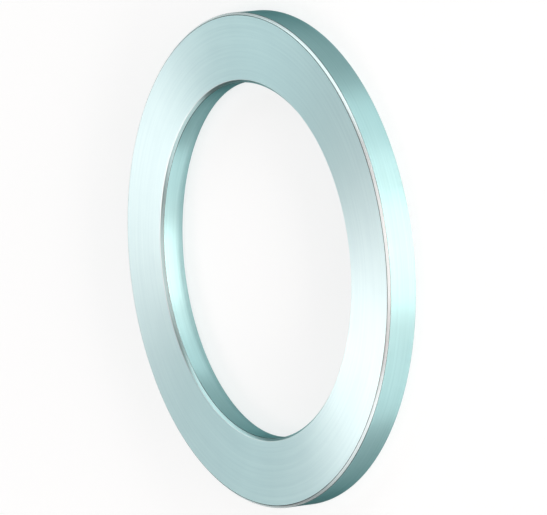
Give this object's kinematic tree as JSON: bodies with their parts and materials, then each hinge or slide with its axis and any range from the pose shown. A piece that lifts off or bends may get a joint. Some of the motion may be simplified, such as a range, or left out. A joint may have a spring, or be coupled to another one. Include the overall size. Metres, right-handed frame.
{
  "type": "thrust washer",
  "caption": "Flat steel ring with a ground bearing face, chamfered edges and a filleted back bore edge, which carries the axial load of a roller thrust bearing.",
  "frame": {"origin": "middle of the bore in the plane of the back face, which the washer lies on", "axes": "+Z along the bore, from the back face to the bearing face; X and Y lie in the back face and are alike, because the washer is a body of revolution"},
  "size_m": [0.078, 0.078, 0.005],
  "materials": {
    "ground_steel": "ground, with a fine circular lay and a pale blue-green cast"
  },
  "bodies": {
    "root": {"washer": "ground_steel"}
  },
  "joints": []
}
